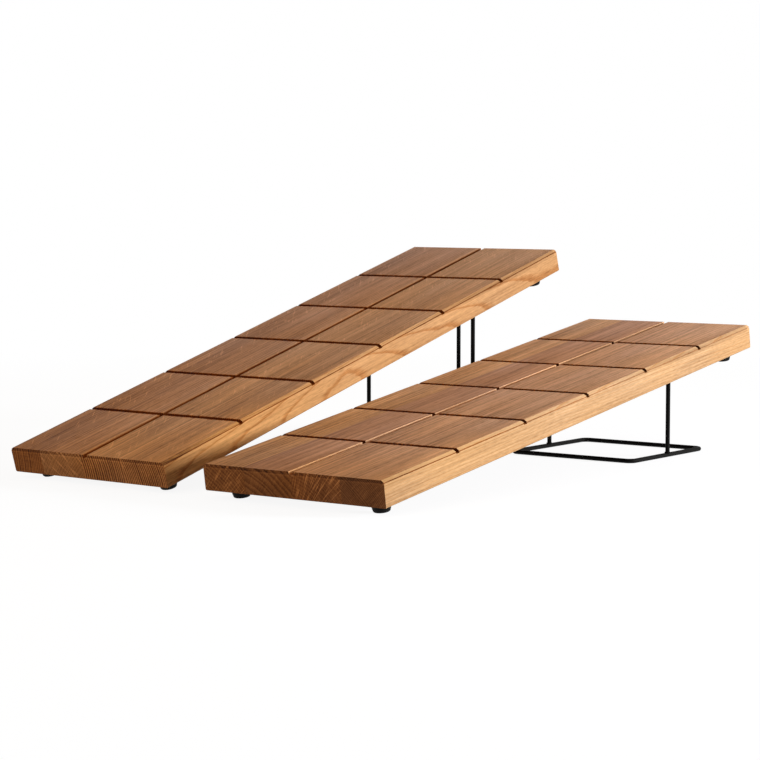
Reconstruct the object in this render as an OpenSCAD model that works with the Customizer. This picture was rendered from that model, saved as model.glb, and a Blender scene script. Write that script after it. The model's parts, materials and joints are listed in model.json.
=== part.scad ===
// Pair of grooved oak buffet boards, each leaning on a bent wire stand.
// Millimetres, Z up. The boards run along Y, low end towards -Y, and the rear one is turned a little.
// The origin is on the table, under the centre of the pair's box.

/* [Board] */
// Length of each board
board_l = 530; // [400:1:650]
// Width of each board
board_w = 162; // [140:1:220]
// Thickness of each board
board_t = 20; // [18:0.5:30]
// Radius that eases the long bottom edges
bottom_edge_r = 1.4; // [0.6:0.1:2.5]

/* [Grooves and edges] */
// Serving cells along the board
cells_along = 6; // [3:1:8]
// Serving cells across the board
cells_across = 2; // [2:1:3]
// Width of the grooves between cells
groove_w = 4; // [2.5:0.25:6]
// Depth of the grooves
groove_d = 3; // [1.5:0.25:4]
// How far the long top chamfers reach in from the side
chamfer_w = 2.4; // [1.2:0.1:5]
// Drop of the long top chamfers
chamfer_h = 1.6; // [1.2:0.1:4]
// Height of the shadow line under each chamfer
shadow_line_h = 0.7; // [0.4:0.1:1.5]
// Depth of the shadow line into the side
shadow_line_d = 0.8; // [0.4:0.1:1.5]

/* [Staves] */
// Width of the front board's left stave
front_left_stave_w = 38; // [32:0.5:45]
// Width of the front board's right stave
front_right_stave_w = 38; // [32:0.5:45]
// Shift of the front board's middle seam from its centre line
front_seam_shift = 0; // [-8:0.5:8]
// Width of the rear board's left stave
rear_left_stave_w = 32; // [32:0.5:45]
// Width of the rear board's right stave
rear_right_stave_w = 43; // [32:0.5:45]
// Shift of the rear board's middle seam from its centre line
rear_seam_shift = -5; // [-8:0.5:8]

/* [Feet] */
// Diameter of a foot where it meets the board
foot_top_d = 16.5; // [14:0.5:20]
// Diameter of a foot at its tip
foot_tip_d = 12.5; // [11.5:0.5:14]
// Height of a foot
foot_h = 8; // [7:0.5:14]
// Radius round the tip of a foot
foot_tip_r = 1.2; // [0.6:0.1:1.5]
// Foot centres from the ends of the board
foot_end_inset = 18; // [16:0.5:40]
// Foot centres from the sides of the board
foot_side_inset = 18; // [16:0.5:23]
// Depth of the screw pocket in a foot
foot_pocket = 5; // [4:0.5:5.5]

/* [Foot screws] */
// Diameter of the screw shank
screw_d = 3; // [2.5:0.1:3.5]
// Length of the screw under its head
screw_l = 16; // [12:0.5:18]
// Diameter of the screw head
screw_head_d = 5.6; // [5:0.1:6]
// Height of the screw head
screw_head_h = 2.2; // [1.6:0.1:2.6]
// Outside diameter of the washer
washer_d = 7; // [6.5:0.1:7.2]
// Thickness of the washer
washer_t = 0.5; // [0.4:0.1:1]

/* [Stands] */
// Diameter of the coated wire
rod_d = 3.7; // [3:0.1:5]
// Outside width and length of the square base loops
base_size = 120; // [90:1:135]
// Radius of the bends, at the middle of the wire
bend_r = 6; // [4:0.5:10]
// Height of the low stand
low_stand_h = 70.5; // [50:0.5:100]
// Height of the tall stand
tall_stand_h = 120; // [90:0.5:150]
// Ground distance from the front board's low feet to the low stand's cross bar
low_stand_reach = 409; // [300:1:430]
// Ground distance from the rear board's low feet to the tall stand's cross bar
tall_stand_reach = 395; // [300:1:430]

/* [Layout] */
// Gap between the two boards at their low feet
board_gap = 37; // [30:1:140]
// How far the rear board's low feet stand behind the front board's
rear_stagger = 4; // [0:1:60]
// Turn of the rear board and its stand, clockwise from above
rear_turn = 1.5; // [-10:0.5:2.5]

/* [Hidden] */
$fn = 64;

// Names in the order of the indices used below
BOARDS = ["front", "rear"];
STAVES = ["left", "mid_left", "mid_right", "right"];
ENDS = ["low", "high"];
SIDES = ["left", "right"];

// Clearances: the board on its stand, a screw or washer in its hole, and a welded end on its wire
rest_gap = 0.3;
hole_gap = 0.1;
weld_gap = 0.1;
// Spare depth of a pilot hole, length of a screw's point, and overlap of a cut past a face
pilot_spare = 1;
screw_point = 3;
cut = 1;
// Screw recess: width, length and depth of each slot of the cross
recess = [0.9, 3.2, 1.2];
// Weld bead: radius of the bead that runs round a welded end
bead_r = 0.7;
// Steps round the tip of a foot
tip_steps = 8;
// Collar over a butt seam in a wire: how far it stands out, and its length
collar = [0.05, 1];

rod_r = rod_d / 2;
base_half = base_size / 2 - rod_r;
stand_h = [low_stand_h, tall_stand_h];
stand_reach = [low_stand_reach, tall_stand_reach];
// Seams between staves, from the left edge of each board
seams = [
    [0, front_left_stave_w, board_w / 2 + front_seam_shift, board_w - front_right_stave_w, board_w],
    [0, rear_left_stave_w, board_w / 2 + rear_seam_shift, board_w - rear_right_stave_w, board_w]
];

// A tilted board stands on the round tip of its low feet. These are the ring that the tip turns on,
// and the point of that ring nearest the low end, from the low end and from the underside.
tip_ring_r = foot_tip_d / 2 - foot_tip_r;
pivot_u = foot_end_inset - tip_ring_r;
pivot_w = foot_tip_r - foot_h;

// Tilt at which the underside lies rest_gap above a cross bar
function bar_z(b) = stand_h[b] - rod_r;
function tilt(b) =
    let(rise = bar_z(b) - foot_tip_r, fall = -pivot_w - rod_r - rest_gap)
    acos(fall / norm([rise, stand_reach[b]])) - atan2(stand_reach[b], rise);

// Each board's pivot on the table, from the front board's, and its turn
home = [[0, 0], [-board_w - board_gap, rear_stagger]];
turn = [0, -rear_turn];

// A point of a board seen from above, from its left edge, its low end and its underside
function plan(b, v, u, w) =
    let(x = v - board_w / 2, y = (u - pivot_u) * cos(tilt(b)) - (w - pivot_w) * sin(tilt(b)))
    home[b] + [x * cos(turn[b]) - y * sin(turn[b]), x * sin(turn[b]) + y * cos(turn[b])];
corners = [for (b = [0, 1], v = [0, board_w], u = [0, board_l], w = [0, board_t]) plan(b, v, u, w)];
middle = [for (i = [0, 1]) (min([for (c = corners) c[i]]) + max([for (c = corners) c[i]])) / 2];

// Table coordinates of one board and its stand: the origin is under the middle of the low feet's pivot
module on_table(b) {
    translate([home[b][0] - middle[0], home[b][1] - middle[1], 0])
        rotate(turn[b])
            children();
}

// Board coordinates: x from the left edge, y from the low end, z from the underside
module on_board(b) {
    on_table(b)
        translate([0, 0, foot_tip_r])
            rotate([tilt(b), 0, 0])
                translate([-board_w / 2, -pivot_u, -pivot_w])
                    children();
}

// Stand coordinates: the origin is on the table under the middle of the cross bar
module on_stand(b) {
    on_table(b)
        translate([0, stand_reach[b], 0])
            children();
}

module at_foot(end, side) {
    x = [foot_side_inset, board_w - foot_side_inset][side];
    y = [foot_end_inset, board_l - foot_end_inset][end];
    translate([x, y, 0])
        children();
}

module at_feet() {
    for (end = [0, 1], side = [0, 1])
        at_foot(end, side)
            children();
}

// Cross-section of a board: eased below, chamfered above, with a shadow line under each chamfer
module board_profile() {
    difference() {
        union() {
            translate([bottom_edge_r, 0])
                square([board_w - 2 * bottom_edge_r, board_t]);
            translate([0, bottom_edge_r])
                square([board_w, board_t - bottom_edge_r]);
            for (x = [bottom_edge_r, board_w - bottom_edge_r])
                translate([x, bottom_edge_r])
                    circle(bottom_edge_r);
        }
        for (side = [0, 1])
            translate([side * board_w, board_t])
                mirror([side, 0]) {
                    polygon([[-cut, cut], [chamfer_w, cut], [chamfer_w, 0], [0, -chamfer_h], [-cut, -chamfer_h]]);
                    translate([-cut, -chamfer_h - shadow_line_h])
                        square([cut + shadow_line_d, shadow_line_h]);
                }
    }
}

module grooves() {
    for (i = [1 : cells_along - 1])
        translate([-cut, i * board_l / cells_along - groove_w / 2, board_t - groove_d])
            cube([board_w + 2 * cut, groove_w, groove_d + cut]);
    for (i = [1 : cells_across - 1])
        translate([i * board_w / cells_across - groove_w / 2, -cut, board_t - groove_d])
            cube([groove_w, board_l + 2 * cut, groove_d + cut]);
}

module pilot_holes() {
    depth = screw_l - washer_t - (foot_h - foot_pocket) + pilot_spare;
    at_feet()
        translate([0, 0, -cut])
            cylinder(d = screw_d + hole_gap, h = depth + cut);
}

// One glued stave: its strip of the profile, grooved and drilled with the rest of the board
module stave(b, k) {
    color(["#a9764b", "#96624a", "#a57455", "#9f6e4c"][k])
        on_board(b)
            difference() {
                translate([0, board_l, 0])
                    rotate([90, 0, 0])
                        linear_extrude(board_l)
                            intersection() {
                                board_profile();
                                translate([seams[b][k], 0])
                                    square([seams[b][k + 1] - seams[b][k], board_t]);
                            }
                grooves();
                pilot_holes();
            }
}

// The round of a foot's tip, from where the tapered side touches it down to the flat end
function tip_round() =
    let(to_top = [foot_top_d / 2 - tip_ring_r, -pivot_w],
        touch = atan2(to_top[1], to_top[0]) - acos(foot_tip_r / norm(to_top)))
    [for (i = [0 : tip_steps])
        let(angle = touch - (touch + 90) * i / tip_steps)
        [tip_ring_r + foot_tip_r * cos(angle), pivot_w + foot_tip_r * sin(angle)]];

module foot(b, end, side) {
    hole_r = (screw_d + hole_gap) / 2;
    pocket_r = washer_d / 2 + hole_gap;
    pocket_z = foot_pocket - foot_h;
    color("#1b1b1c")
        on_board(b)
            at_foot(end, side)
                rotate_extrude()
                    polygon(concat(
                        [[hole_r, 0], [foot_top_d / 2, 0]], tip_round(),
                        [[pocket_r, -foot_h], [pocket_r, pocket_z], [hole_r, pocket_z]]
                    ));
}

module washers(b) {
    color("silver")
        on_board(b)
            at_feet()
                translate([0, 0, foot_pocket - foot_h - washer_t])
                    difference() {
                        cylinder(d = washer_d, h = washer_t);
                        translate([0, 0, -cut])
                            cylinder(d = screw_d + hole_gap, h = washer_t + 2 * cut);
                    }
}

module screws(b) {
    seat_z = foot_pocket - foot_h - washer_t;
    color("gray")
        on_board(b)
            at_feet()
                translate([0, 0, seat_z]) {
                    cylinder(d = screw_d, h = screw_l - screw_point);
                    translate([0, 0, screw_l - screw_point])
                        cylinder(d1 = screw_d, d2 = screw_d / 4, h = screw_point);
                    difference() {
                        translate([0, 0, -screw_head_h])
                            cylinder(d = screw_head_d, h = screw_head_h);
                        for (slot = [0, 90])
                            translate([0, 0, -screw_head_h])
                                rotate(slot)
                                    cube([recess[0], recess[1], 2 * recess[2]], center = true);
                    }
                }
}

// A straight run of wire from the origin along Z
module wire(length) {
    cylinder(d = rod_d, h = length);
}

// A bend about the Z axis, from +X towards +Y
module wire_bend(angle) {
    rotate_extrude(angle = angle)
        translate([bend_r, 0])
            circle(d = rod_d);
}

// The bead of weld round a wire end that stands on another wire, whose centre is the origin
module weld_bead() {
    translate([0, 0, rod_r])
        rotate(45)
            rotate_extrude()
                translate([rod_r, 0])
                    circle(bead_r);
}

// A closed square loop that lies on the table
module stand_base(b) {
    color("#161618")
        on_stand(b)
            translate([0, 0, rod_r])
                for (quarter = [0 : 3])
                    rotate(90 * quarter) {
                        translate([base_half, bend_r - base_half, 0])
                            rotate([-90, 0, 0])
                                wire(2 * (base_half - bend_r));
                        translate([base_half - bend_r, base_half - bend_r, 0])
                            wire_bend(90);
                    }
}

// The side wires of a base loop, as a cutter that leaves a welded end its seat
module base_seat() {
    for (x = [-base_half, base_half])
        translate([x, base_half, rod_r])
            rotate([90, 0, 0])
                cylinder(r = rod_r + weld_gap, h = 2 * base_half);
}

// Two posts and a cross bar bent from one wire, welded to the middles of the base's sides
module stand_bridge(b) {
    post_h = bar_z(b) - bend_r - rod_r;
    color("#161618")
        on_stand(b)
            difference() {
                union() {
                    for (side = [0, 1])
                        mirror([side, 0, 0]) {
                            translate([base_half, 0, rod_r]) {
                                wire(post_h);
                                weld_bead();
                            }
                            translate([base_half - bend_r, 0, bar_z(b) - bend_r])
                                rotate([90, 0, 0])
                                    wire_bend(90);
                        }
                    translate([bend_r - base_half, 0, bar_z(b)])
                        rotate([0, 90, 0])
                            wire(2 * (base_half - bend_r));
                }
                base_seat();
            }
}

// A third post behind, bent forward under the board and welded to the middle of the cross bar
module stand_strut(b) {
    slope = tilt(b);
    bend_y = base_half - bend_r;
    bend_z = bar_z(b) + bend_y * tan(slope) - bend_r / cos(slope);
    run = (bend_y - bend_r * sin(slope)) / cos(slope);
    color("#161618")
        on_stand(b)
            difference() {
                union() {
                    translate([0, base_half, rod_r]) {
                        wire(bend_z - rod_r);
                        weld_bead();
                    }
                    translate([0, bend_y, bend_z])
                        rotate([90, 0, 90]) {
                            wire_bend(90 + slope);
                            rotate(90 + slope)
                                translate([bend_r, 0, 0])
                                    rotate([-90, 0, 0]) {
                                        wire(run);
                                        translate([0, 0, -collar[1] / 2])
                                            cylinder(r = rod_r + collar[0], h = collar[1]);
                                    }
                        }
                    translate([0, 0, bar_z(b)])
                        rotate([slope - 90, 0, 0])
                            weld_bead();
                }
                rotate(90)
                    base_seat();
                translate([-base_half, 0, bar_z(b)])
                    rotate([0, 90, 0])
                        cylinder(r = rod_r + weld_gap, h = 2 * base_half);
                // The upper weld is ground flush, so that the board lies on the bar
                translate([0, 0, bar_z(b)])
                    rotate([slope, 0, 0])
                        translate([-rod_d, -rod_d, rod_r + collar[0]])
                            cube([2 * rod_d, 3 * rod_d, rod_d]);
            }
}

for (b = [0, 1], k = [0 : 3])
    stave(b, k);
for (b = [0, 1], end = [0, 1], side = [0, 1])
    foot(b, end, side);
for (b = [0, 1])
    washers(b);
for (b = [0, 1])
    screws(b);
stand_base(0);  // low_stand_base
stand_bridge(0);  // low_stand_bridge
stand_base(1);  // tall_stand_base
stand_bridge(1);  // tall_stand_bridge
stand_strut(1);  // tall_stand_strut
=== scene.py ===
"""Looks of a pair of grooved oak buffet boards, each leaning on a black wire stand. Metres, Z up."""

import json
import math

import bmesh
import bpy
from mathutils import Matrix, Vector


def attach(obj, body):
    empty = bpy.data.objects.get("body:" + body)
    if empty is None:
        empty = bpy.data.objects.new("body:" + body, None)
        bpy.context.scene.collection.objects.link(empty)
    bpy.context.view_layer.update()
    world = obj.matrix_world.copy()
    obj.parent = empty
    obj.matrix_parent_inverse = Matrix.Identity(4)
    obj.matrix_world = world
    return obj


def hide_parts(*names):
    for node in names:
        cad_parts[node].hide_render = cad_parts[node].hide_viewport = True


MM = 0.001
WHITE = (1, 1, 1)

# Board, as in the CAD source
BOARD_L = 530 * MM
BOARD_W = 162 * MM
BOARD_T = 20 * MM
CELLS_ALONG = 6
GROOVE_W = 4 * MM
GROOVE_D = 3 * MM
CHAMFER_W = 2.4 * MM
CHAMFER_H = 1.6 * MM
SHADOW_LINE_H = 0.7 * MM
SHADOW_LINE_D = 0.8 * MM
BOTTOM_EDGE_R = 1.4 * MM
# The point of a board that its serving_cell mount names, as shares of width and length
CELL_ACROSS = 0.75
CELL_ALONG = 2.5 / CELLS_ALONG
# Softened edges that the CAD source leaves sharp
GROOVE_EDGE_R = 0.35 * MM
END_EDGE_R = 0.4 * MM
END_EDGE_STEPS = 2
CIRCLE_PROFILE = 0.5
ROUND_STEPS = 4
SMOOTH_ANGLE = math.radians(25)
# How far cutters reach past the board, and how near counts as the same place
CUT = 5 * MM
NEAR = 0.1 * MM

# Seams between the staves of each board, from its left edge
SEAMS = {
    "front": [0, 38 * MM, 81 * MM, 124 * MM, BOARD_W],
    "rear": [0, 32 * MM, 76 * MM, 119 * MM, BOARD_W],
}
STAVES = ["left", "mid_left", "mid_right", "right"]

# Each stave's timber. pith is the tree's middle in the board's cross-section (mm), lean is how it leans along
# the board, bow is how far the rings bow (mm) and where along the board, and year is a year's growth (mm).
# rings is how dark early wood shows on flat grain, growth lines on edge grain and early wood on end grain.
# rays is how light flecks show on flat grain and rays on end grain. The hue's drift along the board is a
# painted sheen that turns the wood cooler towards the high end. face, side and end are the colours of flat
# grain, of edge grain with the long groove's walls, and of end grain with the cross grooves' walls. The last
# keys replace the defaults of the shadow line's painted shade, the chamfer's painted light and shade and the
# sides' painted shade at the low end.
OAK = {
    "front": [
        {"pith": (-40, -60), "lean": (0.01, 0.012), "bow": (1.5, 180), "year": 2.6,
         "rings": (0.12, 0.2, 0.4), "rays": (0.05, 1.2), "painted_sheen_drift": 0.3,
         "face": (0.68, 0.365, 0.175), "side": (0.68, 0.4, 0.2), "end": (0.31, 0.124, 0.041)},
        # The front mid_left stave's side colour, on the lit wall of the long groove, is a painted highlight.
        {"pith": (20, -45), "lean": (0.0, 0.006), "bow": (1.0, 300), "year": 4.2,
         "rings": (0.12, 0.2, 0.45), "rays": (0.0, 0.3), "painted_sheen_drift": 0.3,
         "face": (0.525, 0.27, 0.155), "side": (0.92, 0.57, 0.33), "end": (0.31, 0.13, 0.048)},
        {"pith": (70, -40), "lean": (0.012, 0.0), "bow": (1.0, 260), "year": 2.6,
         "rings": (0.12, 0.2, 0.3), "rays": (0.05, 2.0), "painted_sheen_drift": 0.3,
         "face": (0.725, 0.4, 0.226), "side": (0.6, 0.34, 0.17), "end": (0.28, 0.111, 0.04)},
        {"pith": (60, -70), "lean": (0.0, 0.02), "bow": (1.5, 220), "year": 1.5,
         "rings": (0.1, 0.12, 0.45), "rays": (0.0, 0.3), "painted_sheen_drift": 0.15,
         "face": (0.75, 0.415, 0.226), "side": (0.65, 0.4, 0.205), "end": (0.25, 0.105, 0.042),
         "line": (0.6, 0.0)},
    ],
    "rear": [
        {"pith": (-150, 30), "lean": (0.02, 0.0), "bow": (2.0, 240), "year": 2.0,
         "rings": (0.2, 0.25, 0.6), "rays": (0.45, 0.2), "painted_sheen_drift": 0.5,
         "face": (0.535, 0.277, 0.15), "side": (0.64, 0.34, 0.15), "end": (0.4, 0.16, 0.052)},
        {"pith": (150, -80), "lean": (0.0, 0.01), "bow": (1.0, 300), "year": 2.2,
         "rings": (0.2, 0.25, 0.25), "rays": (0.12, 0.7), "painted_sheen_drift": 0.5,
         "face": (0.575, 0.3, 0.162), "side": (0.64, 0.34, 0.15), "end": (0.48, 0.233, 0.105)},
        # The rear mid_right stave's side colour, on the walls of the long groove, is painted shade.
        {"pith": (10, 5), "lean": (0.01, 0.0), "bow": (1.5, 330), "year": 2.2,
         "rings": (0.1, 0.25, 0.9), "rays": (0.3, 0.15), "painted_sheen_drift": 0.5,
         "face": (0.685, 0.375, 0.19), "side": (0.37, 0.125, 0.03), "end": (0.64, 0.3, 0.125)},
        # The rear right stave has painted shade on its side and chamfer at the low end, and painted light on
        # its chamfer further up.
        {"pith": (60, -4), "lean": (0.0, 0.0), "bow": (3.2, 215), "year": 1.9,
         "rings": (0.12, 0.25, 0.9), "rays": (0.15, 0.15), "painted_sheen_drift": 0.5,
         "face": (0.665, 0.353, 0.17), "side": (0.64, 0.35, 0.15), "end": (0.64, 0.3, 0.125),
         "chamfer_lightening": (-0.35, 0.2), "low_end_shade": 0.28},
    ],
}

# Painted shade in the shadow line, and painted light on the chamfer, at the low and the high end
LINE_SHADE = (0.55, 0.55)
CHAMFER_LIGHTENING = (0.05, 0.28)
# How much painted shade darkens the sides at the low end
LOW_END_SHADE = 0.08

# Sizes of the wood's patterns: across the board, along it and up (mm)
WANDER_SIZE = (45, 220, 45)
RIPPLE_SIZE = (5, 14, 5)
PORE_SIZE = (0.5, 12, 0.5)
FIBRE_SIZE = (2.2, 130, 2.2)
FIBRE_ROUGHNESS = 0.7
TONE_SIZE = (14, 170, 14)
HUE_SIZE = (50, 120, 50)
GRIT_SIZE = (1.2, 6, 1.2)
TEAR_SIZE = (1.1, 9, 9)
# Rays are sized round the tree, along it and outwards, as if all lay this far out. Flecks lie at a slant (mm)
RAY_SIZE = (0.8, 9, 14)
RAY_RADIUS = 70
FLECK_SIZE = (2.4, 28, 1)
FLECK_SLANT = 0.7
# The part of each noise over which its pattern comes in, and how strong pores are outside early wood
RAY_LEVELS = (0.5, 0.72)
FLECK_LEVELS = (0.6, 0.72)
PORE_LEVELS = (0.54, 0.66)
LATE_PORES = 0.3

# How far the grain wanders (mm), and the blunt curve that the rings bow by on both sides of its middle
WANDER = (4, 0, 4)
BOW_LENGTH = 50
BOW_BLUNT = 0.05
BOW_POWER = 0.31
# How uneven the years are, over how much growth (mm), and how much a ring ripples, in years
UNEVEN_YEARS = 1.8
UNEVEN_SIZE = (6, 1, 1)
RIPPLE_YEARS = 0.25
# Where early wood and the growth line come in and fade out, as shares of a year
EARLY_IN = (0.0, 0.15)
EARLY_OUT = (0.25, 0.8)
GROWTH_LINE_IN = (0.0, 0.06)
GROWTH_LINE_OUT = (0.06, 0.3)

# How squarely a surface faces along the board to be end grain, and sideways to be edge grain or no chamfer
END_FACING = (0.5, 0.9)
EDGE_FACING = (0.35, 0.5)
SQUARE_FACING = (0.7, 0.85)
# Heights on the board (mm): ragged painted shade under the top edge of the sawn ends, painted light in the
# band under it, and the grooves
SHADE_LIP_FROM = (18.3, 18.7)
LIT_BAND_FROM = (17.3, 17.7)
END_TEAR = 1.8
GROOVE_FROM = (15, 16)
GROOVE_TO = (19.8, 20.0)
# Distances (mm): the long edges from the middle, the shadow line's blur, the sawn ends that the grooves'
# marks stay clear of, and the torn rim beside a cross groove
LONG_EDGES_FROM = (79, 79.5)
LINE_BLUR = 0.1
ENDS_CLEAR = (3, 4)
RIM_TO = (4.8, 5.7)
RIM_TEAR = 5.0
# Stretches along the board (mm from the low end) over which its marks change
LINE_RUN = (30, 400)
CHAMFER_LIGHTENING_RUN = (0, 200)
LOW_END_SHADE_RUN = (5, 75)
RISE_RUN = (80, 380)
HIGH_END_RUN = (300, 420)
# The tops get painted light that rises towards the high end; this is the share of its rise at which the top
# has its own lightness
RISE_MIDDLE = 0.45

# How much each pattern or mark lightens flat grain, edge grain and end grain, apart from what OAK says
LIGHTENING = {
    "pores": (-0.3, -0.2, -0.2),
    "fibre": (1.6, 1.1, 0.5),
    "tone": (1.0, 0.4, 0.7),
    "grit": (0.4, 0.5, 0.8),
    # band and lip: painted light and painted shade under the top edge of the sawn ends
    "band": (0.0, 0.0, 0.2),
    "painted_shade_lip": (0.0, 0.0, -0.55),
    # Painted shade in the shadow line, and painted light on the chamfer
    "painted_line_shade": (0.0, -1.0, 0.0),
    "painted_chamfer_light": (0.0, 1.0, 0.0),
    # Painted light that rises on the tops towards the high end
    "rise": (0.17, 0.0, 0.0),
    "rim": (-0.25, 0.0, 0.0),
}
# How far each takes the colour to BROWNING. In the grooves and the shadow line this browning is part of their
# painted shade.
BROWNED = {
    "groove": (1.0, 0.0, 1.0),
    "growth_lines": (0.0, 0.35, 0.0),
    "painted_line_shade": (0.0, 1.0, 0.0),
    "rim": (0.9, 0.0, 0.0),
}
BROWNING = (1.0, 0.55, 0.08)
# How much painted shade darkens the floors and cross walls of the grooves, and edge grain at their height
# near the high end
GROOVE_SHADE = (-0.4, 0.0, -0.6)
WALL_SHADE = (0.0, -0.25, 0.0)
# The least light that is left, and how strongly red, green and blue follow it
DARKEST = 0.1
DEEPENING = (0.9, 1.05, 1.2)
# How far red, green and blue go with the hue, which wanders at random and drifts along the board as a painted
# sheen
HUE_DRIFT = (0.2, 0.0, -0.5)
OAK_ROUGHNESS = 0.62
PORE_ROUGHNESS = 0.15
OAK_SPECULAR = 0.1
OAK_BUMP = 0.25
OAK_BUMP_DEPTH = 0.2 * MM

# Finishes of the CAD nodes that stay in view, by material slot: dull black powder coat with its orange-peel
# skin, matte black rubber with a moulded grain, and mottled zinc plate. cloud and skin are the sizes (mm) and
# details of two noises. The cloud mixes the two shades, and the skin makes the bump, with its strength and
# depth (mm). rough is the least roughness, what a noise adds to it, and which noise. even is what is the same
# all over.
FINISHES = {
    "wire": {
        "name": "powder_coat", "shades": ((0.002, 0.002, 0.002), (0.006, 0.0055, 0.005)),
        "cloud": (12, 2), "skin": (0.5, 2), "rough": (0.5, 0.15, "cloud"), "bump": (0.06, 0.05),
        "even": {"Specular IOR Level": 0.06},
    },
    "rubber": {
        "name": "rubber", "shades": ((0.003, 0.003, 0.003), (0.009, 0.008, 0.007)),
        "cloud": (5, 2), "skin": (0.3, 3), "rough": (0.6, 0.2, "skin"), "bump": (0.3, 0.05),
        "even": {"Specular IOR Level": 0.12},
    },
    "zinc": {
        "name": "zinc", "shades": ((0.5, 0.51, 0.53), (0.68, 0.69, 0.7)),
        "cloud": (1.5, 3), "skin": (1.5, 3), "rough": (0.25, 0.2, "skin"), "bump": (0.2, 0.03),
        "even": {"Metallic": 1.0},
    },
}

# Camera, fitted to the photograph
CAMERA_AT = (1.08944, -1.48185, 0.22128)
CAMERA_YAW = 0.64224
CAMERA_PITCH = 0.08356
FOCAL_PX = 2266.9
FRAME_PX = 760
SENSOR_MM = 36
CLIP_END = 50

# Studio light
KEY_AT = (1.7, 0.68, 0.42)
KEY_SIZE = (0.45, 0.45)
KEY_WATTS = 34
FRONT_AT = (-0.8, -2.2, 0.7)
FRONT_SIZE = (1.2, 1.2)
FRONT_WATTS = 8
FRONT_COLOUR = (1.0, 0.8, 0.6)
LAMP_AIM = (0, 0, 0.08)
FILL = 0.35
FILL_COLOUR = (1.0, 0.8, 0.62)

# Floor: its paint as the boards see it, what the camera sees near the boards, and where that fades to white
FLOOR_PAINT = (0.4, 0.4, 0.4)
FLOOR_GLOW = 0.9
FLOOR_SHADED = (0.18, 0.2, 0.23)
FLOOR_FADE = (0.5, 1.3)
FLOOR_HALF = 8


class Graph:
    """A material's node tree, with short calls that add a node and return its output."""

    def __init__(self, name):
        self.material = bpy.data.materials.new(name)
        self.material.use_nodes = True
        self.tree = self.material.node_tree
        self.shader = self.tree.nodes["Principled BSDF"]

    def set(self, socket, value):
        if isinstance(value, bpy.types.NodeSocket):
            self.tree.links.new(value, socket)
        else:
            socket.default_value = value

    def add(self, kind, *values, **settings):
        node = self.tree.nodes.new(kind)
        for name, value in settings.items():
            setattr(node, name, value)
        for socket, value in zip(node.inputs, values):
            self.set(socket, value)
        return node

    def math(self, operation, *values):
        return self.add("ShaderNodeMath", *values, operation=operation).outputs[0]

    def vector(self, operation, *values):
        return self.add("ShaderNodeVectorMath", *values, operation=operation).outputs[0]

    def join(self, x, y, z):
        return self.add("ShaderNodeCombineXYZ", x, y, z).outputs[0]

    def split(self, vector):
        return self.add("ShaderNodeSeparateXYZ", vector).outputs

    def coordinates(self, output):
        return self.add("ShaderNodeTexCoord").outputs[output]

    def noise(self, vector, size, detail=2, roughness=0.5, output="Fac"):
        """Noise whose blobs have this size along each axis."""
        scaled = self.vector("DIVIDE", vector, size)
        node = self.add("ShaderNodeTexNoise")
        self.set(node.inputs["Vector"], scaled)
        self.set(node.inputs["Scale"], 1.0)
        self.set(node.inputs["Detail"], detail)
        self.set(node.inputs["Roughness"], roughness)
        return node.outputs[output]

    def swing(self, vector, size, **settings):
        """Noise that swings about 0."""
        return self.math("SUBTRACT", self.noise(vector, size, **settings), 0.5)

    def step(self, value, low, high):
        """0 below low, 1 above high, smooth between."""
        node = self.add("ShaderNodeMapRange", interpolation_type="SMOOTHSTEP")
        self.set(node.inputs["Value"], value)
        self.set(node.inputs["From Min"], low)
        self.set(node.inputs["From Max"], high)
        return node.outputs[0]

    def fall(self, value, low, high):
        """1 below low, 0 above high, smooth between."""
        return self.math("SUBTRACT", 1.0, self.step(value, low, high))

    def band(self, value, rise, fall):
        """1 between a rise and a fall, which don't overlap, and 0 outside them."""
        return self.math("SUBTRACT", self.step(value, *rise), self.step(value, *fall))

    def change(self, value, run, start, end):
        """Goes from start to end while the value goes through a run."""
        return self.math("MULTIPLY_ADD", self.step(value, *run), end - start, start)

    def mix(self, factor, a, b):
        node = self.add("ShaderNodeMix", data_type="RGBA")
        self.set(node.inputs["Factor"], factor)
        self.set(node.inputs["A"], a)
        self.set(node.inputs["B"], b)
        return node.outputs["Result"]

    def bump(self, height, strength, distance):
        node = self.add("ShaderNodeBump")
        self.set(node.inputs["Strength"], strength)
        self.set(node.inputs["Distance"], distance)
        self.set(node.inputs["Height"], height)
        self.set(self.shader.inputs["Normal"], node.outputs[0])


def board_matrix(board):
    """Places board coordinates: x from the left edge, y from the low end, z from the underside."""
    mounts = {m["name"]: m for m in frame["record"]["mounts"]}
    mount = mounts[f"{board}_serving_cell"]
    normal = Vector(mount["axis"])
    turn = Matrix.Rotation(math.atan2(normal.x, -normal.y), 4, "Z")
    slope = Matrix.Rotation(math.atan2(math.hypot(normal.x, normal.y), normal.z), 4, "X")
    cell = Vector((CELL_ACROSS * BOARD_W, CELL_ALONG * BOARD_L, BOARD_T))
    return Matrix.Translation(mount["pos_m"]) @ turn @ slope @ Matrix.Translation(-cell)


def arc(centre, radius, start, end):
    """Points of an arc from one angle to another, in degrees."""
    angles = [math.radians(start + (end - start) * i / ROUND_STEPS) for i in range(ROUND_STEPS + 1)]
    return [(centre[0] + radius * math.cos(a), centre[1] + radius * math.sin(a)) for a in angles]


def long_edge():
    """Outline of a left long edge, from the top face round to the underside."""
    under = BOARD_T - CHAMFER_H
    return [
        (CHAMFER_W, BOARD_T),
        (0, under),
        (SHADOW_LINE_D, under),
        (SHADOW_LINE_D, under - SHADOW_LINE_H),
        (0, under - SHADOW_LINE_H),
    ] + arc((BOTTOM_EDGE_R, BOTTOM_EDGE_R), BOTTOM_EDGE_R, 180, 270)


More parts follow.
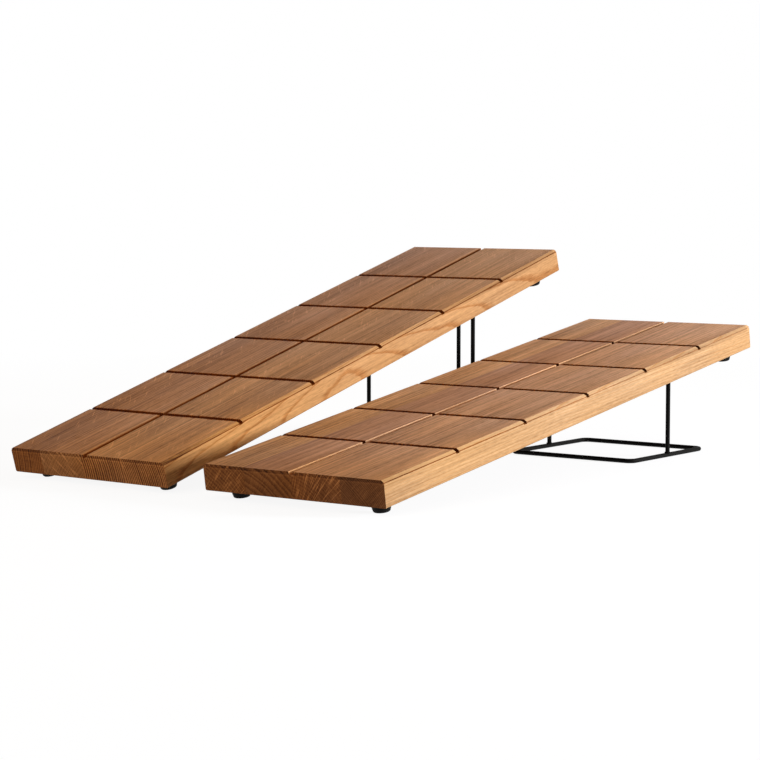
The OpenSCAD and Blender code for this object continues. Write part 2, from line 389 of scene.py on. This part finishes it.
def stave_outline(seams, k):
    """Cross-section of stave k, counter-clockwise from its top left."""
    left, right = seams[k], seams[k + 1]
    start = [(left, BOARD_T), (left, 0)]
    end = [(right, 0), (right, BOARD_T)]
    if k == 0:
        start = long_edge()
    if k == len(STAVES) - 1:
        end = [(BOARD_W - x, z) for x, z in reversed(long_edge())]
    return start + end


def prism(outline, place, length):
    """A mesh that sweeps an outline along a length. place turns (across, along, up) into a point."""
    mesh = bmesh.new()
    rings = [[mesh.verts.new(place(x, y, z)) for x, z in outline] for y in (0, length)]
    mesh.faces.new(rings[0])
    mesh.faces.new(list(reversed(rings[1])))
    for i in range(len(outline)):
        j = (i + 1) % len(outline)
        mesh.faces.new([rings[0][i], rings[1][i], rings[1][j], rings[0][j]])
    bmesh.ops.recalc_face_normals(mesh, faces=mesh.faces)
    return mesh


def to_object(mesh, name):
    data = bpy.data.meshes.new(name)
    mesh.to_mesh(data)
    mesh.free()
    piece = bpy.data.objects.new(name, data)
    bpy.context.scene.collection.objects.link(piece)
    return piece


def groove_outline():
    """A groove's cross-section, flared at the top so that it leaves softened edges."""
    half = GROOVE_W / 2
    flare = arc((half + GROOVE_EDGE_R, -GROOVE_EDGE_R), GROOVE_EDGE_R, 180, 90)
    right = [(half, BOARD_T - GROOVE_D)]
    right += [(x, z + BOARD_T) for x, z in flare]
    right += [(half + GROOVE_EDGE_R, BOARD_T + CUT)]
    left = [(-x, z) for x, z in reversed(right)]
    return right + left


def groove_cutters():
    """Two temporary cutters: the cross grooves, and the long groove down the middle."""
    outline = groove_outline()
    across = bmesh.new()
    for i in range(1, CELLS_ALONG):
        middle = i * BOARD_L / CELLS_ALONG
        one = prism(outline, lambda x, y, z: (y - CUT, middle + x, z), BOARD_W + 2 * CUT)
        data = bpy.data.meshes.new("groove")
        one.to_mesh(data)
        one.free()
        across.from_mesh(data)
        bpy.data.meshes.remove(data)
    along = prism(outline, lambda x, y, z: (BOARD_W / 2 + x, y - CUT, z), BOARD_L + 2 * CUT)
    return [to_object(across, "cross_grooves"), to_object(along, "long_groove")]


def soften_ends(mesh):
    """Rounds the top and bottom edges of the sawn ends."""
    def at_end(edge):
        ys = [v.co.y for v in edge.verts]
        zs = [v.co.z for v in edge.verts]
        level = abs(zs[0] - zs[1]) < NEAR and min(abs(zs[0]), abs(zs[0] - BOARD_T)) < NEAR
        return level and abs(ys[0] - ys[1]) < NEAR

    bmesh.ops.bevel(
        mesh,
        geom=[e for e in mesh.edges if at_end(e)],
        offset=END_EDGE_R,
        segments=END_EDGE_STEPS,
        affect="EDGES",
        profile=CIRCLE_PROFILE,
    )


def cut_away(piece, cutters):
    """Cuts the cutters out of a piece, and makes the result its own mesh."""
    for cutter in cutters:
        modifier = piece.modifiers.new(cutter.name, "BOOLEAN")
        modifier.object = cutter
        modifier.operation = "DIFFERENCE"
        modifier.solver = "EXACT"
    bpy.context.view_layer.update()
    result = bpy.data.meshes.new_from_object(piece.evaluated_get(bpy.context.evaluated_depsgraph_get()))
    piece.modifiers.clear()
    old = piece.data
    piece.data = result
    bpy.data.meshes.remove(old)


def shade_smooth(piece):
    piece.data.polygons.foreach_set("use_smooth", [True] * len(piece.data.polygons))
    piece.data.set_sharp_from_angle(angle=SMOOTH_ANGLE)


def add_stave(board, k, cutters):
    node = f"{board}_{STAVES[k]}_stave"
    mesh = prism(stave_outline(SEAMS[board], k), lambda x, y, z: (x, y, z), BOARD_L)
    soften_ends(mesh)
    piece = to_object(mesh, f"{node}_wood")
    cut_away(piece, cutters)
    shade_smooth(piece)
    piece.data.materials.append(oak(f"oak_{node}", OAK[board][k]))
    piece.matrix_world = board_matrix(board)
    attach(piece, f"{board}_board")
    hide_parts(node)


def wood_patterns(g, place, timber):
    """Growth rings round the tree's middle, rays across them, and pores and fibres along the grain."""
    wander = g.vector("SUBTRACT", g.noise(place, WANDER_SIZE, output="Color"), (0.5, 0.5, 0.5))
    x, y, z = g.split(g.vector("MULTIPLY_ADD", wander, WANDER, place))
    bow, middle = timber["bow"]
    along = g.math("DIVIDE", g.math("SUBTRACT", y, middle), BOW_LENGTH)
    bend = g.math("POWER", g.math("MULTIPLY_ADD", along, along, BOW_BLUNT), BOW_POWER)
    dx = g.math("SUBTRACT", g.math("MULTIPLY_ADD", y, timber["lean"][0], x), timber["pith"][0])
    dx = g.math("MULTIPLY_ADD", bend, bow, dx)
    dz = g.math("SUBTRACT", g.math("MULTIPLY_ADD", y, timber["lean"][1], z), timber["pith"][1])
    radius = g.math("SQRT", g.math("MULTIPLY_ADD", dx, dx, g.math("MULTIPLY", dz, dz)))

    uneven = g.noise(g.join(radius, 0, 0), UNEVEN_SIZE, detail=1)
    years = g.math("MULTIPLY_ADD", uneven, UNEVEN_YEARS, g.math("DIVIDE", radius, timber["year"]))
    ripple = g.noise(place, RIPPLE_SIZE)
    season = g.math("FRACT", g.math("MULTIPLY_ADD", ripple, RIPPLE_YEARS, years))
    early = g.band(season, EARLY_IN, EARLY_OUT)
    around = g.math("MULTIPLY", g.math("ARCTAN2", dz, dx), RAY_RADIUS)
    rays = g.noise(g.join(around, y, radius), RAY_SIZE, detail=1)
    slant_x = g.math("MULTIPLY_ADD", y, FLECK_SLANT, x)
    slant_y = g.math("MULTIPLY_ADD", x, -FLECK_SLANT, y)
    flecks = g.noise(g.join(slant_x, slant_y, 0), FLECK_SIZE, detail=1)
    pores = g.step(g.noise(place, PORE_SIZE, detail=1), *PORE_LEVELS)
    return {
        "early": early,
        "growth_lines": g.band(season, GROWTH_LINE_IN, GROWTH_LINE_OUT),
        "rays": g.step(rays, *RAY_LEVELS),
        "flecks": g.step(flecks, *FLECK_LEVELS),
        "pores": g.math("MULTIPLY", pores, g.math("MULTIPLY_ADD", early, 1 - LATE_PORES, LATE_PORES)),
        "fibre": g.swing(place, FIBRE_SIZE, detail=3, roughness=FIBRE_ROUGHNESS),
        "tone": g.swing(place, TONE_SIZE),
        "grit": g.swing(place, GRIT_SIZE),
    }


def board_marks(g, place, sideways, timber):
    """Marks by the place on the board: painted light and shade on the ends, shadow line, chamfer, grooves,
    low end and top, and a rim by the cross grooves.
    """
    across, along, height = g.split(place)
    length = BOARD_L / MM
    torn = g.noise(place, TEAR_SIZE, detail=1)
    ragged = g.math("MULTIPLY_ADD", torn, END_TEAR, height)

    # The shadow line's painted shade, and the painted light and shade on the chamfer
    line_top = (BOARD_T - CHAMFER_H) / MM
    line_low = line_top - SHADOW_LINE_H / MM
    line = g.band(height, (line_low - LINE_BLUR, line_low), (line_top, line_top + LINE_BLUR))
    from_middle = g.math("ABSOLUTE", g.math("SUBTRACT", across, BOARD_W / 2 / MM))
    line = g.math("MULTIPLY", line, g.step(from_middle, *LONG_EDGES_FROM))
    line_shade_along = g.change(along, LINE_RUN, *timber.get("line", LINE_SHADE))
    chamfer = g.band(sideways, EDGE_FACING, SQUARE_FACING)
    chamfer_lightening = g.change(along, CHAMFER_LIGHTENING_RUN, *timber.get("chamfer_lightening", CHAMFER_LIGHTENING))

    inner = g.band(along, ENDS_CLEAR, (length - ENDS_CLEAR[1], length - ENDS_CLEAR[0]))
    to_groove = g.math("PINGPONG", along, length / CELLS_ALONG / 2)
    rim = g.fall(g.math("MULTIPLY_ADD", torn, RIM_TEAR, to_groove), *RIM_TO)
    return {
        # Painted shade under the top edge of the sawn ends, with painted light in the band below it
        "painted_shade_lip": g.step(ragged, *SHADE_LIP_FROM),
        "band": g.step(ragged, *LIT_BAND_FROM),
        "painted_line_shade": g.math("MULTIPLY", line, line_shade_along),
        # Painted light on the chamfer, and painted shade where it is negative
        "painted_chamfer_light": g.math("MULTIPLY", chamfer, chamfer_lightening),
        # Where the grooves get painted shade
        "groove": g.math("MULTIPLY", g.band(height, GROOVE_FROM, GROOVE_TO), inner),
        "rim": g.math("MULTIPLY", rim, inner),
        # Painted shade on the sides at the low end
        "low_end_shade": g.fall(along, *LOW_END_SHADE_RUN),
        # Painted light that rises on the tops towards the high end
        "rise": g.math("SUBTRACT", g.step(along, *RISE_RUN), RISE_MIDDLE),
        "high_end": g.step(along, *HIGH_END_RUN),
    }


def hue(g, place, painted_sheen_drift):
    """What red, green and blue are multiplied by, as the hue wanders at random and drifts along the board in
    a painted sheen.
    """
    _, along, _ = g.split(place)
    warm = g.math("ADD", g.noise(place, HUE_SIZE, detail=1), (painted_sheen_drift - 1) / 2)
    warm = g.math("MULTIPLY_ADD", along, -painted_sheen_drift * MM / BOARD_L, warm)
    return g.vector("MULTIPLY_ADD", g.join(warm, warm, warm), HUE_DRIFT, WHITE)


def oak(name, timber):
    """Oak in three dimensions, so that its figure runs on from the top to the sides and the ends."""
    g = Graph(name)
    place = g.vector("SCALE", g.coordinates("Object"))
    place.node.inputs["Scale"].default_value = 1 / MM
    nx, ny, _ = g.split(g.coordinates("Normal"))
    sideways = g.math("ABSOLUTE", nx)
    edge = g.step(sideways, *EDGE_FACING)
    end = g.step(g.math("ABSOLUTE", ny), *END_FACING)
    seen = {**wood_patterns(g, place, timber), **board_marks(g, place, sideways, timber)}

    def zones(on_face, on_edge, on_end):
        """A strength for each kind of surface."""
        strength = g.math("MULTIPLY_ADD", edge, on_edge - on_face, on_face)
        return g.math("MULTIPLY_ADD", end, on_end - on_face, strength)

    def total(start, strengths):
        """Adds up what is seen, each by its strengths."""
        for what, strength in strengths.items():
            start = g.math("MULTIPLY_ADD", seen[what], zones(*strength), start)
        return start

    early_on_face, lines_on_edge, early_on_end = timber["rings"]
    flecks_on_face, rays_on_end = timber["rays"]
    light = total(1.0, {
        "early": (-early_on_face, 0.0, -early_on_end),
        "growth_lines": (0.0, -lines_on_edge, 0.0),
        "rays": (0.0, 0.0, rays_on_end),
        "flecks": (flecks_on_face, 0.0, 0.0),
        # Painted shade on the sides at the low end
        "low_end_shade": (0.0, -timber.get("low_end_shade", LOW_END_SHADE), 0.0),
        **LIGHTENING,
    })
    # Painted shade in the grooves, and on edge grain at their height near the high end
    painted_groove_shade = g.math("MULTIPLY_ADD", seen["high_end"], zones(*WALL_SHADE), zones(*GROOVE_SHADE))
    light = g.math("MULTIPLY", light, g.math("MULTIPLY_ADD", seen["groove"], painted_groove_shade, 1.0))
    light = g.math("MAXIMUM", light, DARKEST)

    colour = g.mix(edge, (*timber["face"], 1), (*timber["side"], 1))
    colour = g.mix(end, colour, (*timber["end"], 1))
    colour = g.vector("MULTIPLY", colour, g.mix(total(0.0, BROWNED), (*WHITE, 1), (*BROWNING, 1)))
    colour = g.vector("MULTIPLY", colour, hue(g, place, timber["painted_sheen_drift"]))
    deep = g.vector("POWER", g.join(light, light, light), DEEPENING)
    roughness = g.math("MULTIPLY_ADD", seen["pores"], PORE_ROUGHNESS, OAK_ROUGHNESS)
    g.set(g.shader.inputs["Base Color"], g.vector("MULTIPLY", colour, deep))
    g.set(g.shader.inputs["Roughness"], roughness)
    g.set(g.shader.inputs["Specular IOR Level"], OAK_SPECULAR)
    g.bump(g.math("SUBTRACT", seen["fibre"], seen["pores"]), OAK_BUMP, OAK_BUMP_DEPTH)
    return g.material


def finish(look):
    """A material of FINISHES."""
    g = Graph(look["name"])
    place = g.coordinates("Object")
    noises = {}
    for kind in ("cloud", "skin"):
        size, detail = look[kind]
        noises[kind] = g.noise(place, (size * MM,) * 3, detail)
    dark, pale = look["shades"]
    least, added, kind = look["rough"]
    strength, depth = look["bump"]
    g.set(g.shader.inputs["Base Color"], g.mix(noises["cloud"], (*dark, 1), (*pale, 1)))
    g.set(g.shader.inputs["Roughness"], g.math("MULTIPLY_ADD", noises[kind], added, least))
    for socket, value in look["even"].items():
        g.set(g.shader.inputs[socket], value)
    g.bump(noises["skin"], strength, depth * MM)
    return g.material


def dress_frame():
    """Gives the CAD nodes that stay in view their materials."""
    coats = {slot: finish(look) for slot, look in FINISHES.items()}
    slots = {s["node"]: s["material_slot"] for s in frame["record"]["subparts"]}
    for node, piece in frame["nodes"].items():
        if slots[node] in coats:
            piece.data.materials.clear()
            piece.data.materials.append(coats[slots[node]])


def add_camera():
    data = bpy.data.cameras.new("camera")
    data.sensor_width = SENSOR_MM
    data.lens = FOCAL_PX / FRAME_PX * SENSOR_MM
    data.clip_end = CLIP_END
    camera = bpy.data.objects.new("camera", data)
    camera.location = CAMERA_AT
    camera.rotation_euler = (math.pi / 2 - CAMERA_PITCH, 0, CAMERA_YAW)
    bpy.context.scene.collection.objects.link(camera)
    bpy.context.scene.camera = camera


def add_lamp(name, at, size, watts, colour):
    data = bpy.data.lights.new(name, "AREA")
    data.shape = "RECTANGLE"
    data.size, data.size_y = size
    data.energy = watts
    data.color = colour
    lamp = bpy.data.objects.new(name, data)
    lamp.location = at
    lamp.rotation_euler = (Vector(LAMP_AIM) - Vector(at)).to_track_quat("-Z", "Y").to_euler()
    bpy.context.scene.collection.objects.link(lamp)


def seen_white(tree, lit, white):
    """Joins two shaders: rays that show the background see white, and the rest see the lit one."""
    path = tree.nodes.new("ShaderNodeLightPath")
    shown = path.outputs["Is Camera Ray"]
    for kind in ("Is Glossy Ray", "Is Transmission Ray"):
        either = tree.nodes.new("ShaderNodeMath")
        either.operation = "MAXIMUM"
        tree.links.new(shown, either.inputs[0])
        tree.links.new(path.outputs[kind], either.inputs[1])
        shown = either.outputs[0]
    mix = tree.nodes.new("ShaderNodeMixShader")
    tree.links.new(shown, mix.inputs[0])
    tree.links.new(lit, mix.inputs[1])
    tree.links.new(white, mix.inputs[2])
    return mix.outputs[0]


def floor_material():
    material = bpy.data.materials.new("floor")
    material.use_nodes = True
    tree = material.node_tree
    tree.nodes.clear()
    paint = tree.nodes.new("ShaderNodeBsdfDiffuse")
    paint.inputs["Color"].default_value = (*FLOOR_PAINT, 1)
    glow = tree.nodes.new("ShaderNodeEmission")
    glow.inputs["Strength"].default_value = FLOOR_GLOW
    shaded = tree.nodes.new("ShaderNodeBsdfDiffuse")
    shaded.inputs["Color"].default_value = (*FLOOR_SHADED, 1)
    near = tree.nodes.new("ShaderNodeAddShader")
    tree.links.new(glow.outputs[0], near.inputs[0])
    tree.links.new(shaded.outputs[0], near.inputs[1])
    far = tree.nodes.new("ShaderNodeEmission")
    place = tree.nodes.new("ShaderNodeTexCoord")
    away = tree.nodes.new("ShaderNodeVectorMath")
    away.operation = "LENGTH"
    tree.links.new(place.outputs["Object"], away.inputs[0])
    fade = tree.nodes.new("ShaderNodeMapRange")
    fade.inputs["From Min"].default_value = FLOOR_FADE[0]
    fade.inputs["From Max"].default_value = FLOOR_FADE[1]
    tree.links.new(away.outputs["Value"], fade.inputs["Value"])
    ground = tree.nodes.new("ShaderNodeMixShader")
    tree.links.new(fade.outputs[0], ground.inputs[0])
    tree.links.new(near.outputs[0], ground.inputs[1])
    tree.links.new(far.outputs[0], ground.inputs[2])
    out = tree.nodes.new("ShaderNodeOutputMaterial")
    tree.links.new(seen_white(tree, paint.outputs[0], ground.outputs[0]), out.inputs["Surface"])
    return material


def add_floor():
    """A pale floor that keeps a soft shadow near the boards and meets the white background without a line."""
    mesh = bmesh.new()
    bmesh.ops.create_grid(mesh, x_segments=1, y_segments=1, size=FLOOR_HALF)
    floor = to_object(mesh, "floor")
    floor.data.materials.append(floor_material())


def light_world():
    world = bpy.data.worlds.new("studio")
    world.use_nodes = True
    tree = world.node_tree
    tree.nodes.clear()
    fill = tree.nodes.new("ShaderNodeBackground")
    fill.inputs["Color"].default_value = (*FILL_COLOUR, 1)
    fill.inputs["Strength"].default_value = FILL
    white = tree.nodes.new("ShaderNodeBackground")
    white.inputs["Color"].default_value = (*WHITE, 1)
    white.inputs["Strength"].default_value = 1
    out = tree.nodes.new("ShaderNodeOutputWorld")
    tree.links.new(seen_white(tree, fill.outputs[0], white.outputs[0]), out.inputs["Surface"])
    bpy.context.scene.world = world


def add_light():
    """A soft box low to the right and a little behind, a weak one in front, and a dim warm fill all round."""
    light_world()
    add_lamp("key", KEY_AT, KEY_SIZE, KEY_WATTS, WHITE)
    add_lamp("front", FRONT_AT, FRONT_SIZE, FRONT_WATTS, FRONT_COLOUR)


bpy.ops.wm.read_factory_settings(use_empty=True)
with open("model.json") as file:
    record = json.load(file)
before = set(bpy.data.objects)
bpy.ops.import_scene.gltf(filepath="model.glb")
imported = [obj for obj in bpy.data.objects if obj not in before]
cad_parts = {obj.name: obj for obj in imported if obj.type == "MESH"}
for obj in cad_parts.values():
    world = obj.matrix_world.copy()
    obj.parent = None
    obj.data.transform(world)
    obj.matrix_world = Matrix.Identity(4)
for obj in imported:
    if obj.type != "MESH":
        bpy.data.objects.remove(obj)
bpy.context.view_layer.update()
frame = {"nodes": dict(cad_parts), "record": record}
add_camera()
add_light()
add_floor()
dress_frame()
grooves = groove_cutters()
for board in SEAMS:
    for k in range(len(STAVES)):
        add_stave(board, k, grooves)
for cutter in grooves:
    bpy.data.objects.remove(cutter)

bpy.context.scene.view_settings.view_transform = "Standard"
